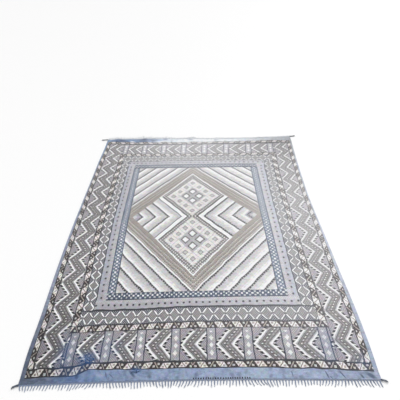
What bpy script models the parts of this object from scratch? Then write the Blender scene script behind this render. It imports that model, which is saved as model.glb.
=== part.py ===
# Flatweave rug: one woven sheet lying flat, with a short fringe of warp ends at each end.
# Metres, +Z up. X runs across the rug, +Y from its near end to its far end.
# The origin is on the floor, under the middle of everything built.
#
# Stations below are given on the cloth, whose own centre lies SHIFT away from the origin,
# because the fringe and the two long corner locks reach further on one side than on the other.

import math
import random

import bmesh
import bpy
import numpy as np

# Driving dimensions
CLOTH_WIDTH = 2.00
THICKNESS = 0.004
NEAR_REACH = 1.555
FAR_REACH = 1.600
LEFT_REACH = 1.040
RIGHT_REACH = 1.085
SHIFT_X = (LEFT_REACH - RIGHT_REACH) / 2
SHIFT_Y = (NEAR_REACH - FAR_REACH) / 2

# The sheet's grid, which is finer towards the two ends, where the cloth is least flat
CELLS_ACROSS = 40
CELLS_ALONG = 60
END_CROWDING = 0.62

# The fringe: a narrow strip along the woven end, and the warp ends that leave it.
# CORNER is the station along the cloth at which both side edges meet the ends.
CORNER = 1.50
SEAM_GAP = 0.0003
STRIP_WIDTH = 0.008
STRANDS = 117
STRAND_ROOT = 0.0075
STRAND_TIP = 0.0035
STRAND_FLATTENING = 0.2
STRAND_RINGS = 2
SHORTEST = 0.72
LONGEST = 1.20
FRINGE_SEEDS = {"near": 11, "far": 5}

# How far a strand's tip leans sideways: two waves across the rug, in radians a metre and share
LEAN = 0.010
LEAN_WAVES = ((9.0, 1.0), (23.0, 0.6))

# How far the two woven side edges stray, by their station along the cloth
SIDE_EDGES = (
    # along, left, right
    (-1.50, -0.982, 1.004),
    (-1.34, -0.994, 1.012),
    (-1.04, -0.998, 1.015),
    (-0.68, -1.006, 1.007),
    (-0.24, -1.010, 0.998),
    (0.30, -1.002, 0.988),
    (0.66, -0.994, 0.995),
    (1.05, -0.987, 1.009),
    (1.25, -0.979, 1.018),
    (1.50, -0.972, 1.033),
)

# Where the weaving stops at each end, and how long the fringe is there
ENDS = (
    # across, near end, near fringe, far end, far fringe
    (-1.02, -1.499, 0.040, 1.502, 0.052),
    (-0.60, -1.489, 0.042, 1.503, 0.056),
    (-0.20, -1.484, 0.044, 1.492, 0.044),
    (0.20, -1.485, 0.046, 1.478, 0.032),
    (0.60, -1.494, 0.044, 1.476, 0.030),
    (1.04, -1.509, 0.042, 1.496, 0.034),
)

# Low ripples that lift the cloth off the floor, mostly in the plain woven ends
RIPPLES = (
    # across, along, half width, half length, turn in degrees, height
    (-0.90, 1.475, 0.060, 0.100, 10, 0.010),
    (-0.74, 1.480, 0.045, 0.090, -14, 0.008),
    (-0.56, 1.478, 0.050, 0.085, 16, 0.012),
    (-0.33, 1.470, 0.045, 0.080, -8, 0.008),
    (-0.03, 1.462, 0.045, 0.080, 6, 0.007),
    (0.24, 1.450, 0.060, 0.080, 0, 0.005),
    (0.86, 1.465, 0.110, 0.080, 12, 0.006),
    (-0.86, -1.430, 0.060, 0.110, 24, 0.007),
    (-0.62, -1.395, 0.040, 0.150, 38, 0.009),
    (-0.46, -1.450, 0.040, 0.080, -12, 0.006),
    (-0.10, -1.445, 0.060, 0.070, 18, 0.004),
    (0.42, -1.450, 0.060, 0.075, -16, 0.005),
    (0.64, -1.452, 0.035, 0.085, -24, 0.008),
    (0.76, -1.462, 0.035, 0.080, -28, 0.007),
    (0.93, -1.478, 0.050, 0.060, 20, 0.006),
    (-0.93, 0.55, 0.050, 0.300, 2, 0.005),
    (-0.95, -0.35, 0.045, 0.330, -2, 0.006),
    (0.94, 1.12, 0.050, 0.260, -3, 0.005),
)
RIPPLE_FLOOR = 0.04
EDGE_FADE = 0.030

# Locks of yarn in the far fringe that lie longer than their neighbours
LONG_LOCKS = (
    # across, added length
    (-0.865, 0.026),
    (-0.585, 0.044),
    (-0.520, 0.034),
    (-0.340, 0.022),
    (-0.030, 0.034),
    (0.235, 0.010),
)
LOCK_REACH = 0.022

# The locks that splay out of the four corners, from the ends of the fringe strips
LOCK_RINGS = 3
LOCK_NARROWING = 0.25
CORNER_LOCKS = {
    # end and side: how far the tip lies along, measured from its root
    ("far", "left"): -0.006,
    ("far", "right"): 0.010,
    ("near", "left"): -0.018,
    ("near", "right"): -0.014,
}
NEAR_LOCK_LENGTH = 0.034

# A face of the fringe strip looks one way when its normal leans at least this much that way
FACING = 0.9

# Plain stand-ins for the two yarns
WOOL_COLOUR = (0.33, 0.32, 0.31)
WARP_COLOUR = (0.24, 0.29, 0.39)
WOOL_ROUGHNESS = 0.95


def clear_scene():
    for obj in list(bpy.data.objects):
        bpy.data.objects.remove(obj, do_unlink=True)


def column(table, index):
    return np.array([row[index] for row in table])


def through(table, index, station):
    """A smooth curve through one column of a table, read at a station of its first column."""
    stations = column(table, 0)
    values = column(table, index)
    slopes = np.gradient(values, stations)
    at = min(max(station, stations[0]), stations[-1])
    row = int(min(max(np.searchsorted(stations, at) - 1, 0), len(stations) - 2))
    span = stations[row + 1] - stations[row]
    t = (at - stations[row]) / span
    return float(
        values[row] * (1 + 2 * t) * (1 - t) ** 2
        + values[row + 1] * t * t * (3 - 2 * t)
        + span * slopes[row] * t * (1 - t) ** 2
        + span * slopes[row + 1] * t * t * (t - 1)
    )


def left_edge(along):
    return through(SIDE_EDGES, 1, along)


def right_edge(along):
    return through(SIDE_EDGES, 2, along)


def near_end(across):
    return through(ENDS, 1, across)


def far_end(across):
    return through(ENDS, 3, across)


def smooth_rise(value):
    t = min(max(value, 0.0), 1.0)
    return t * t * (3 - 2 * t)


def ripple_height(across, along):
    """The lift of the cloth off the floor: soft ridges that die out before the woven ends."""
    lift = 0.0
    for ridge_x, ridge_y, half_width, half_length, turn, height in RIPPLES:
        angle = math.radians(turn)
        dx = across - ridge_x
        dy = along - ridge_y
        over = (dx * math.cos(angle) + dy * math.sin(angle)) / half_width
        down = (dy * math.cos(angle) - dx * math.sin(angle)) / half_length
        swell = math.exp(-over * over - down * down)
        lift += height * max(0.0, swell - RIPPLE_FLOOR) / (1 - RIPPLE_FLOOR)
    inside = min(far_end(across) - along, along - near_end(across))
    return lift * smooth_rise(inside / EDGE_FADE)


def crowded(t):
    """Moves evenly spaced stations from 0 to 1 towards both ends."""
    return t - END_CROWDING * math.sin(2 * math.pi * t) / (2 * math.pi)


def new_object(name, mesh_data, collection, material):
    mesh = bpy.data.meshes.new(name)
    mesh_data.to_mesh(mesh)
    mesh_data.free()
    obj = bpy.data.objects.new(name, mesh)
    obj.data.materials.append(material)
    collection.objects.link(obj)
    return obj


def yarn_material(name, colour):
    material = bpy.data.materials.new(name)
    material.use_nodes = True
    shader = material.node_tree.nodes["Principled BSDF"]
    shader.inputs["Base Color"].default_value = (*colour, 1.0)
    shader.inputs["Roughness"].default_value = WOOL_ROUGHNESS
    shader.inputs["Metallic"].default_value = 0.0
    return material


def thicken(bm):
    """Turns a laid sheet into a closed slab by raising a copy of its faces."""
    raised = bmesh.ops.extrude_face_region(bm, geom=bm.faces[:])["geom"]
    top = [part for part in raised if isinstance(part, bmesh.types.BMVert)]
    bmesh.ops.translate(bm, vec=(0, 0, THICKNESS), verts=top)
    bmesh.ops.recalc_face_normals(bm, faces=bm.faces[:])


def build_cloth(collection, material):
    """The woven sheet: its underside is a grid laid on the floor, thickened upwards."""
    bm = bmesh.new()
    bmesh.ops.create_grid(bm, x_segments=CELLS_ACROSS, y_segments=CELLS_ALONG, size=0.5)
    for vertex in bm.verts:
        s = crowded(vertex.co.x + 0.5)
        t = crowded(vertex.co.y + 0.5)
        across = (s - 0.5) * CLOTH_WIDTH
        along = near_end(across) * (1 - t) + far_end(across) * t
        across = left_edge(along) * (1 - s) + right_edge(along) * s
        along = near_end(across) * (1 - t) + far_end(across) * t
        height = ripple_height(across, along)
        vertex.co = (across + SHIFT_X, along + SHIFT_Y, height)
    thicken(bm)
    return new_object("rug_cloth", bm, collection, material)


def strand_centre(index, first, last):
    """Where a strand's root lies across, from the first corner to the last."""
    return first + (last - first) * (index + 0.5) / STRANDS


def long_lock(across):
    """The extra length of the strands that gather in a longer lock."""
    return sum(
        added * math.exp(-(((across - lock) / LOCK_REACH) ** 2))
        for lock, added in LONG_LOCKS
    )


def strip_columns(first, last):
    """The strip's columns across: a strand's root between every two of them, then a space."""
    columns = [first]
    for index in range(STRANDS):
        centre = strand_centre(index, first, last)
        columns += [centre - STRAND_ROOT / 2, centre + STRAND_ROOT / 2]
    return columns + [last]


def set_ring(face, centre_x, centre_y, half_width, height, sideways):
    """Shapes one ring of a strand or lock. Its lower edge stays on the floor."""
    middle = face.calc_center_median()
    for vertex in face.verts:
        up = height if vertex.co.z > middle.z else 0.0
        if sideways:
            side = half_width if vertex.co.y > middle.y else -half_width
            vertex.co = (centre_x, centre_y + side, up)
        else:
            side = half_width if vertex.co.x > middle.x else -half_width
            vertex.co = (centre_x + side, centre_y, up)


def from_left(faces):
    return sorted(faces, key=lambda face: face.calc_center_median().x)


def grow(bm, faces, rings, shape):
    """Extrudes each face by itself, ring after ring, and lets shape() place every ring."""
    for ring in range(1, rings + 1):
        faces = from_left(bmesh.ops.extrude_discrete_faces(bm, faces=faces)["faces"])
        for index, face in enumerate(faces):
            shape(face, index, ring / rings)


def facing(bm, component):
    """The faces of a straight slab, from the left, that look the way of a normal's component."""
    return from_left(face for face in bm.faces if component(face.normal) > FACING)


def sideways_lean(across, seed):
    """How far the tip of a strand leans, which changes slowly from strand to strand."""
    (slow, slow_share), (quick, quick_share) = LEAN_WAVES
    return LEAN * (slow_share * math.sin(slow * across + seed) + quick_share * math.sin(quick * across))


def build_fringe(name, end, collection, material):
    """One strip of heading yarns with the warp ends and the two corner locks fused to it."""
    seed = FRINGE_SEEDS[end]
    chance = random.Random(seed)
    outward = 1 if end == "far" else -1
    woven_end = far_end if end == "far" else near_end
    fringe_column = 4 if end == "far" else 2
    reach = FAR_REACH if end == "far" else NEAR_REACH
    first = left_edge(outward * CORNER)
    last = right_edge(outward * CORNER)
    columns = strip_columns(first, last)
    cells = len(columns) - 1

    bm = bmesh.new()
    bmesh.ops.create_grid(bm, x_segments=cells, y_segments=1, size=0.5)
    for vertex in bm.verts:
        across = columns[round((vertex.co.x + 0.5) * cells)]
        vertex.co = (across, (vertex.co.y + 0.5) * STRIP_WIDTH, 0.0)
    thicken(bm)

    roots = facing(bm, lambda normal: normal.y)[1::2]
    caps = facing(bm, lambda normal: abs(normal.x))
    centres = [face.calc_center_median().x for face in roots]
    lengths = []
    leans = []
    for centre in centres:
        length = through(ENDS, fringe_column, centre) - STRIP_WIDTH
        length *= chance.uniform(SHORTEST, LONGEST)
        if end == "far":
            length += long_lock(centre)
        room = reach - outward * woven_end(centre) - STRIP_WIDTH - SEAM_GAP
        lengths.append(min(length, room))
        leans.append(sideways_lean(centre, seed))
    tips = [length + outward * woven_end(centre) for length, centre in zip(lengths, centres)]
    longest = tips.index(max(tips))
    lengths[longest] = reach - outward * woven_end(centres[longest]) - STRIP_WIDTH - SEAM_GAP

    def strand(face, index, t):
        width = STRAND_ROOT + (STRAND_TIP - STRAND_ROOT) * t
        height = THICKNESS * (1 - STRAND_FLATTENING * t)
        across = centres[index] + leans[index] * t * t
        set_ring(face, across, STRIP_WIDTH + lengths[index] * t, width / 2, height, False)

    grow(bm, roots, STRAND_RINGS, strand)

    for side, cap in zip(("left", "right"), caps):
        sign = -1 if side == "left" else 1
        root = first if side == "left" else last
        if end == "far":
            tip = -LEFT_REACH if side == "left" else RIGHT_REACH
        else:
            tip = root + sign * NEAR_LOCK_LENGTH
        drop = CORNER_LOCKS[(end, side)] * outward

        def lock(face, index, t, root=root, tip=tip, drop=drop):
            half = STRIP_WIDTH / 2 * (1 - LOCK_NARROWING * t)
            across = root + (tip - root) * t
            set_ring(face, across, STRIP_WIDTH / 2 + drop * t * t, half, THICKNESS, True)

        grow(bm, [cap], LOCK_RINGS, lock)

    for vertex in bm.verts:
        across = min(max(vertex.co.x, first), last)
        along = woven_end(across) + outward * (SEAM_GAP + vertex.co.y)
        vertex.co = (vertex.co.x + SHIFT_X, along + SHIFT_Y, vertex.co.z)
    if bm.calc_volume(signed=True) < 0:
        bmesh.ops.reverse_faces(bm, faces=bm.faces[:])
    return new_object(name, bm, collection, material)


def main():
    clear_scene()
    collection = bpy.data.collections.new("flatweave_rug")
    bpy.context.scene.collection.children.link(collection)
    wool = yarn_material("dyed_wool_weave", WOOL_COLOUR)
    warp = yarn_material("blue_grey_wool_warp", WARP_COLOUR)
    build_cloth(collection, wool)
    build_fringe("fringe_near", "near", collection, warp)
    build_fringe("fringe_far", "far", collection, warp)


main()
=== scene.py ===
# %% [markdown]
# A flatweave rug, step by step
#
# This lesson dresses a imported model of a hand-woven wool rug, two metres by three, lying on a floor.
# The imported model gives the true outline, the low ripples and the room that the fringes take.
# Here the cloth gets its woven pattern, its yarn, its fringes and some loose ends of blue wool.
# Each step first says what the thing is on the real rug, how it could be made, and why this way.

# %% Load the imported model
import math
import random

import bmesh
import bpy
import numpy as np
from mathutils import Matrix, Vector


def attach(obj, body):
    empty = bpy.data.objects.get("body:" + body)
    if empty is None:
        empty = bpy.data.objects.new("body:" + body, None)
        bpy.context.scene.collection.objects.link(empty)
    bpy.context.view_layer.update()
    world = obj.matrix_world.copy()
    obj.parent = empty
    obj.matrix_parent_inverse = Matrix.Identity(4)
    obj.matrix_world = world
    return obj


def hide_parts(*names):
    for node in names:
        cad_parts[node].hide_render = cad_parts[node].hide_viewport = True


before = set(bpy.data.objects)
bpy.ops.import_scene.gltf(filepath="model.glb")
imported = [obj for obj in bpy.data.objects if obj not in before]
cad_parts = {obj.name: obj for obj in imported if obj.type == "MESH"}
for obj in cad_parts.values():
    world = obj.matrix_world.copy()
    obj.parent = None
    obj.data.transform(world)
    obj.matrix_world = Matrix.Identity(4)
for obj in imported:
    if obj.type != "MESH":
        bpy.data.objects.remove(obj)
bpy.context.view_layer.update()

# %% [markdown]
# The outline and the ripples
#
# A hand-woven rug is never a true rectangle: its sides draw in and out as the weaver's tension
# changes, and its ends ripple where nothing holds the warps. One could sculpt that, or simulate it.
# Short tables are better here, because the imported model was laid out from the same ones, so the
# dressed cloth lies exactly on it. All of them are in metres on the cloth, whose centre lies a
# little off the origin, as the fringe and the corner locks reach further on some sides than others.

# %% The outline and the ripples
NEAR_REACH = 1.555
FAR_REACH = 1.600
LEFT_REACH = 1.040
RIGHT_REACH = 1.085
SHIFT = Vector(((LEFT_REACH - RIGHT_REACH) / 2, (NEAR_REACH - FAR_REACH) / 2, 0.0))
THICKNESS = 0.004

SIDE_EDGES = (
    # along, left, right
    (-1.50, -0.982, 1.004),
    (-1.34, -0.994, 1.012),
    (-1.04, -0.998, 1.015),
    (-0.68, -1.006, 1.007),
    (-0.24, -1.010, 0.998),
    (0.30, -1.002, 0.988),
    (0.66, -0.994, 0.995),
    (1.05, -0.987, 1.009),
    (1.25, -0.979, 1.018),
    (1.50, -0.972, 1.033),
)

ENDS = (
    # across, near end, near fringe, far end, far fringe
    (-1.02, -1.499, 0.040, 1.502, 0.052),
    (-0.60, -1.489, 0.042, 1.503, 0.056),
    (-0.20, -1.484, 0.044, 1.492, 0.044),
    (0.20, -1.485, 0.046, 1.478, 0.032),
    (0.60, -1.494, 0.044, 1.476, 0.030),
    (1.04, -1.509, 0.042, 1.496, 0.034),
)

RIPPLES = (
    # across, along, half width, half length, turn in degrees, height
    (-0.90, 1.475, 0.060, 0.100, 10, 0.010),
    (-0.74, 1.480, 0.045, 0.090, -14, 0.008),
    (-0.56, 1.478, 0.050, 0.085, 16, 0.012),
    (-0.33, 1.470, 0.045, 0.080, -8, 0.008),
    (-0.03, 1.462, 0.045, 0.080, 6, 0.007),
    (0.24, 1.450, 0.060, 0.080, 0, 0.005),
    (0.86, 1.465, 0.110, 0.080, 12, 0.006),
    (-0.86, -1.430, 0.060, 0.110, 24, 0.007),
    (-0.62, -1.395, 0.040, 0.150, 38, 0.009),
    (-0.46, -1.450, 0.040, 0.080, -12, 0.006),
    (-0.10, -1.445, 0.060, 0.070, 18, 0.004),
    (0.42, -1.450, 0.060, 0.075, -16, 0.005),
    (0.64, -1.452, 0.035, 0.085, -24, 0.008),
    (0.76, -1.462, 0.035, 0.080, -28, 0.007),
    (0.93, -1.478, 0.050, 0.060, 20, 0.006),
    (-0.93, 0.55, 0.050, 0.300, 2, 0.005),
    (-0.95, -0.35, 0.045, 0.330, -2, 0.006),
    (0.94, 1.12, 0.050, 0.260, -3, 0.005),
)
RIPPLE_FLOOR = 0.04
EDGE_FADE = 0.030


def through(table, index, station):
    """A smooth curve through one column of a table, read at stations of its first column."""
    rows = np.array(table)
    stations = rows[:, 0]
    values = rows[:, index]
    slopes = np.gradient(values, stations)
    at = np.clip(station, stations[0], stations[-1])
    row = np.clip(np.searchsorted(stations, at) - 1, 0, len(stations) - 2)
    span = stations[row + 1] - stations[row]
    t = (at - stations[row]) / span
    return (
        values[row] * (1 + 2 * t) * (1 - t) ** 2
        + values[row + 1] * t * t * (3 - 2 * t)
        + span * slopes[row] * t * (1 - t) ** 2
        + span * slopes[row + 1] * t * t * (t - 1)
    )


def smooth_rise(value):
    t = np.clip(value, 0.0, 1.0)
    return t * t * (3 - 2 * t)


def ripple_height(across, along):
    """The lift of the cloth off the floor, which dies out before the woven ends."""
    lift = 0.0 * across
    for ridge_x, ridge_y, half_width, half_length, turn, height in RIPPLES:
        angle = math.radians(turn)
        dx = across - ridge_x
        dy = along - ridge_y
        over = (dx * math.cos(angle) + dy * math.sin(angle)) / half_width
        down = (dy * math.cos(angle) - dx * math.sin(angle)) / half_length
        swell = np.exp(-over * over - down * down)
        lift = lift + height * np.maximum(0.0, swell - RIPPLE_FLOOR) / (1 - RIPPLE_FLOOR)
    inside = np.minimum(through(ENDS, 3, across) - along, along - through(ENDS, 1, across))
    return lift * smooth_rise(inside / EDGE_FADE)


print("highest ripple stands at", round(float(ripple_height(-0.56, 1.40)) * 1000, 1), "mm by the far end")

# %% [markdown]
# The weaver's chart
#
# The pattern of such a rug is counted, not drawn: every motif is a whole number of stitches. So the
# cloth carries a chart, in stitches across and along from its middle, and all of the pattern is
# worked out on that chart. Frames of stripes lie inside each other around a central field. The
# table gives the outer lines of each frame. The other tables say how far the woven lines lie from
# their counted places, because the weft was beaten unevenly, the middle was pulled to one side and
# the near left corner is drawn in. Moving the chart is easier than bending each motif. The last
# tables say where the zigzag turns on each side and how wide the selvedges are.

# %% The chart and its frames
STITCH_ACROSS = 0.00674
STITCH_ALONG = 0.00879

FRAMES = {
    # frame: half width, near line, far line, in stitches
    "outer guard": (146, -160, 164),
    "zigzag": (141, -155, 158),
    "inner guard": (118, -128, 133),
    "lattice": (112, -122, 128),
    "plain stripe": (100, -108, 116),
    "narrow stripe": (90, -99, 108),
    "field": (81, -92, 100),
}
EDGE_COLUMN = 148.5
NEAR_EDGE_ROW = -169
FAR_EDGE_ROW = 170

NEAR_ROWS = (-160, -155, -128, -108, -92, -60)
NEAR_LINES = (
    # across, then how far the woven line at each near row lies from its place, in millimetres
    (-0.95, -44, -28, -22, -13, -8, 0),
    (-0.70, -35, -16, -14, -11, -6, 0),
    (-0.62, 2, 6, -8, -10, -4, 0),
    (-0.35, 1, 9, -3, -8, 1, 0),
    (-0.08, 3, 8, 4, 7, 3, 0),
    (0.31, 2, 7, 4, 8, 3, 0),
    (0.70, -20, -6, -6, -1, 4, 0),
    (0.97, -42, -26, -16, -8, 0, 0),
)
FAR_ROWS = (60, 100, 116, 133, 158, 164)
FAR_LINES = (
    # across, then how far the woven line at each far row lies from its place, in millimetres
    (-0.95, 0, 10, 14, 31, 28, 27),
    (-0.58, 0, 2, 5, 22, 10, 9),
    (-0.08, 0, -1, 2, 4, -3, -6),
    (0.31, 0, -7, 1, -8, -11, -9),
    (0.70, 0, -20, -20, -6, -12, -2),
    (0.97, 0, -18, -20, -9, -12, -13),
)
PULL_ROWS = (-155, -91, 0, 102, 157)
PULL_LINES = (
    # across, then how far the cloth is pulled sideways at each pull row, in millimetres
    (-0.95, 0, 0, 0, 0, 0),
    (-0.80, 7, 8, -2, 8, -3),
    (-0.55, -1, -2, -13, -9, -14),
    (-0.33, -16, -11, -26, -24, -20),
    (0.00, -23, -24, -36, -35, -26),
    (0.33, -21, -16, -27, -34, -6),
    (0.55, 0, -3, -9, -18, 9),
    (0.80, 8, 0, -4, 4, 20),
    (0.95, 0, 0, 0, 0, 0),
)
SETTLING = (
    # row, how far the woven line lies nearer than its place, in metres
    (-165, 0.012),
    (-108, 0.010),
    (-60, 0.007),
    (-30, 0.004),
    (0, 0.003),
    (30, 0.005),
    (60, 0.012),
    (85, 0.020),
    (110, 0.024),
    (165, 0.026),
)
TURNS = (
    # along, where the zigzag's outer line comes furthest in: on the left side, then on the right
    (-1.263, -1.040, -0.813, -0.581, -0.358, -0.129, 0.105, 0.337, 0.566, 0.788, 0.988, 1.182, 1.389),
    (-1.233, -1.001, -0.775, -0.541, -0.313, -0.075, 0.159, 0.384, 0.606, 0.828, 1.059, 1.255),
)
SELVEDGES = (
    # along, how wide the left and the right woven edge are
    (-1.45, 0.024, 0.023),
    (-0.80, 0.024, 0.022),
    (0.00, 0.015, 0.011),
    (0.75, 0.011, 0.013),
    (1.30, 0.015, 0.017),
)


def moved_lines(table, rows, across, row):
    """How far the woven lines lie from their places, between the table's stations and rows."""
    moved = 0.0 * row
    stations, *columns = zip(*table)
    for column, one_row in zip(columns, np.eye(len(rows))):
        at_row = np.interp(across, stations, np.array(column) / 1000)
        moved = moved + at_row * np.interp(row, rows, one_row)
    return moved


def lay_chart(column, row):
    """Where points of the chart lie, as (across, along) on the cloth, in metres."""
    guard_half, guard_near, guard_far = FRAMES["outer guard"]
    nominal = column * STITCH_ACROSS
    woven_row = np.clip(row, guard_near, guard_far)
    along = woven_row * STITCH_ALONG
    along = along + moved_lines(NEAR_LINES, NEAR_ROWS, nominal, woven_row)
    along = along + moved_lines(FAR_LINES, FAR_ROWS, nominal, woven_row)
    along = along - np.interp(woven_row, *zip(*SETTLING))

    half = guard_half * STITCH_ACROSS
    out = nominal / half
    left = through(SIDE_EDGES, 1, along)
    right = through(SIDE_EDGES, 2, along)
    left_guard = left + through(SELVEDGES, 1, along)
    right_guard = right - through(SELVEDGES, 2, along)
    leaning = np.where(out < 0, left_guard + half, right_guard - half) * out * out
    pull = moved_lines(PULL_LINES, PULL_ROWS, nominal, woven_row)
    to_edge = np.clip((abs(column) - guard_half) / (EDGE_COLUMN - guard_half), 0, 1)
    woven_across = np.clip(out, -1, 1) * half + leaning / np.maximum(out * out, 1) + pull
    across = woven_across * (1 - to_edge) + np.where(out < 0, left, right) * to_edge

    to_near = np.clip((guard_near - row) / (guard_near - NEAR_EDGE_ROW), 0, 1)
    to_far = np.clip((row - guard_far) / (FAR_EDGE_ROW - guard_far), 0, 1)
    along = along * (1 - to_near) + through(ENDS, 1, across) * to_near
    along = along * (1 - to_far) + through(ENDS, 3, across) * to_far
    return across, along


def zigzag_turn(across, along):
    """The zigzag turns counted along each side, whole where the outer line comes furthest in."""
    counts = []
    for turns in TURNS:
        places = (2 * turns[0] - turns[1], *turns, 2 * turns[-1] - turns[-2])
        counts.append(np.interp(along, places, range(len(places))))
    return np.where(across < 0, *counts)


print("chart:", 2 * EDGE_COLUMN, "stitches across,", FAR_EDGE_ROW - NEAR_EDGE_ROW, "along")

# %% [markdown]
# Stains, painted light and shade, and the dyes of the plain ends
#
# Old dyes never stay even. The plain woven ends and sides run from periwinkle to grey, and the blue of
# a loose yarn has bled into the near left corner. Painted light makes the right side and the far end
# brighter and paler, and painted shade darkens the near left corner and a few soft patches. At the
# far end the plain dye also holds painted shade under the crumples and painted highlights on their
# crests. These are slow changes over the whole cloth, so a noise texture would be wrong: a few
# stations and soft ovals are blended in Python, and kept on the mesh as attributes that the materials
# read.

# %% Slow colour changes


def linear(hex_colour):
    """A linear colour for Blender, from an sRGB hex value."""
    channels = [int(hex_colour[k : k + 2], 16) / 255 for k in (0, 2, 4)]
    return [c / 12.92 if c <= 0.04045 else ((c + 0.055) / 1.055) ** 2.4 for c in channels] + [1.0]


PLAIN_DYES_AND_SHADE = (
    # across, near end, middle of the sides, far end; at the far end the darkest blues are painted shade
    # under the crumples and the palest greys painted highlights on their crests
    (-1.00, "6C7A96", "979EB4", "8199B8"),
    (-0.84, "7C8CAC", "979EB4", "43608C"),
    (-0.70, "7D95C2", "979EB4", "6785AC"),
    (-0.58, "86A0CC", "8F97A8", "4A5F82"),
    (-0.45, "8C9FC1", "8F97A8", "8A9CB6"),
    (-0.28, "92A4C5", "9498A4", "C6CFD8"),
    (-0.10, "96A8C8", "9498A4", "DADFE2"),
    (0.30, "A2B2CF", "9498A4", "D6DADC"),
    (0.70, "98A7C4", "9498A4", "BFC2C5"),
    (1.02, "98A2B5", "A5ABBA", "A9ACB0"),
)
NEAR_BLEND = (-1.40, -0.80)
FAR_BLEND = (0.70, 1.40)
# the soft ovals of the stains, of painted light and of painted shade: across, along, half width, half
# length, strength
BLUE_STAINS = (
    (-0.640, -1.345, 0.050, 0.045, 0.60),
    (-0.690, -1.410, 0.050, 0.030, 0.20),
    (-0.770, -1.300, 0.050, 0.130, 0.32),
    (-0.670, -1.455, 0.080, 0.030, 0.30),
    (-0.340, -1.425, 0.035, 0.025, 0.40),
    (-0.520, -1.270, 0.090, 0.080, 0.18),
    (0.77, -1.270, 0.060, 0.130, 0.22),
    (0.94, -1.400, 0.050, 0.060, 0.20),
)
# painted light: brighter and paler towards the right side and the far end
PAINTED_LIGHT_PATCHES = (
    (0.95, 0.10, 0.52, 1.05, 0.54),
    (0.00, 1.15, 0.62, 0.50, 0.44),
    (0.00, 1.42, 0.60, 0.12, 0.26),
    (0.45, -1.00, 0.55, 0.28, 0.16),
)
# painted shade: darker towards the near left corner and in a few soft patches
PAINTED_SHADE_PATCHES = (
    (-1.00, -1.35, 0.42, 0.60, 0.46),
    (-0.40, -0.70, 0.28, 0.30, 0.14),
    (-0.35, 0.75, 0.28, 0.20, 0.12),
    (-0.10, -1.24, 0.60, 0.12, 0.10),
    (-0.76, -1.40, 0.16, 0.07, 0.16),
    (-0.10, -1.46, 0.70, 0.12, 0.17),
    (-1.00, 0.30, 0.18, 1.40, 0.10),
    (1.00, 1.40, 0.30, 0.35, 0.22),
)


def plain_dye_and_shade(across, along):
    """The dye of the plain weave at each point, with painted shade and highlights at the far end, blended
    between the stations of its table.
    """
    stations, *dyes_and_shade = zip(*PLAIN_DYES_AND_SHADE)
    near_part = 1 - smooth_rise((along - NEAR_BLEND[0]) / (NEAR_BLEND[1] - NEAR_BLEND[0]))
    far_part = smooth_rise((along - FAR_BLEND[0]) / (FAR_BLEND[1] - FAR_BLEND[0]))
    colour = []
    for channel in range(3):
        levels = [[linear(dye_and_shade)[channel] for dye_and_shade in row] for row in dyes_and_shade]
        near, side, far = (np.interp(across, stations, level) for level in levels)
        colour.append(near * near_part + side * (1 - near_part - far_part) + far * far_part)
    return np.stack(colour, axis=1)


def soft_ovals(table, across, along):
    """The sum of a table's soft ovals at each point."""
    total = 0.0 * across
    for middle, place, half_width, half_length, strength in table:
        spread = ((across - middle) / half_width) ** 2 + ((along - place) / half_length) ** 2
        total = total + strength * np.exp(-spread)
    return total


print("the blue stain by the near left corner:", round(float(soft_ovals(BLUE_STAINS, -0.63, -1.34)), 2))

# %% [markdown]
# The woven sheet
#
# The rug is one sheet, 4 mm thick. It could be a plane with a Solidify modifier, but its rim would
# then lean wherever the cloth ripples, so a grid is laid out on the chart and extruded straight up.
# Where the far end is crumpled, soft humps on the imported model's ripples lift it a little further.
# The grid has a line on every line of the chart's frames, which lets each frame have its own
# material, and even steps of less than two stitches between them.

# %% Lay the woven sheet
COLUMN_STEP = 1.9
ROW_STEP = 1.5
TURN_LEAD = 0.006
SHARP_EDGE = 50
RIM_START = 1000000
CRUMPLES = (
    # across, along, half width, half length, height
    (-0.860, 1.490, 0.035, 0.045, 0.0085),
    (-0.740, 1.480, 0.040, 0.035, 0.0030),
    (-0.560, 1.480, 0.038, 0.045, 0.0095),
    (-0.470, 1.480, 0.030, 0.035, 0.0040),
    (-0.335, 1.475, 0.035, 0.045, 0.0080),
    (-0.050, 1.468, 0.035, 0.045, 0.0080),
    (0.220, 1.465, 0.035, 0.040, 0.0055),
)


def stations_between(lines, step):
    """Every line given, with even steps of at most step between them."""
    stations = [lines[0]]
    for low, high in zip(lines, lines[1:]):
        steps = math.ceil((high - low) / step)
        stations += [low + (high - low) * (k + 1) / steps for k in range(steps)]
    return np.array(stations)


def frame_of(column, row):
    """The innermost frame that a point of the chart lies in, and which stretch of it."""
    names = [
        name for name, (half, near, far) in FRAMES.items() if abs(column) < half and near < row < far
    ]
    if len(names) in (0, len(FRAMES)):
        return names[-1] if names else "plain weave"
    inner_half, inner_near, inner_far = list(FRAMES.values())[len(names)]
    beside = abs(column) > inner_half if names[-1] == "zigzag" else inner_near < row < inner_far
    return names[-1] + (" side" if beside else " end")


def rim_last(face):
    """Sorts the rim by place, after the other faces: extruding leaves it in a new order each run."""
    middle = face.calc_center_median()
    return RIM_START + middle.x + 10 * middle.y if abs(face.normal.z) < 0.5 else face.index


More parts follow.
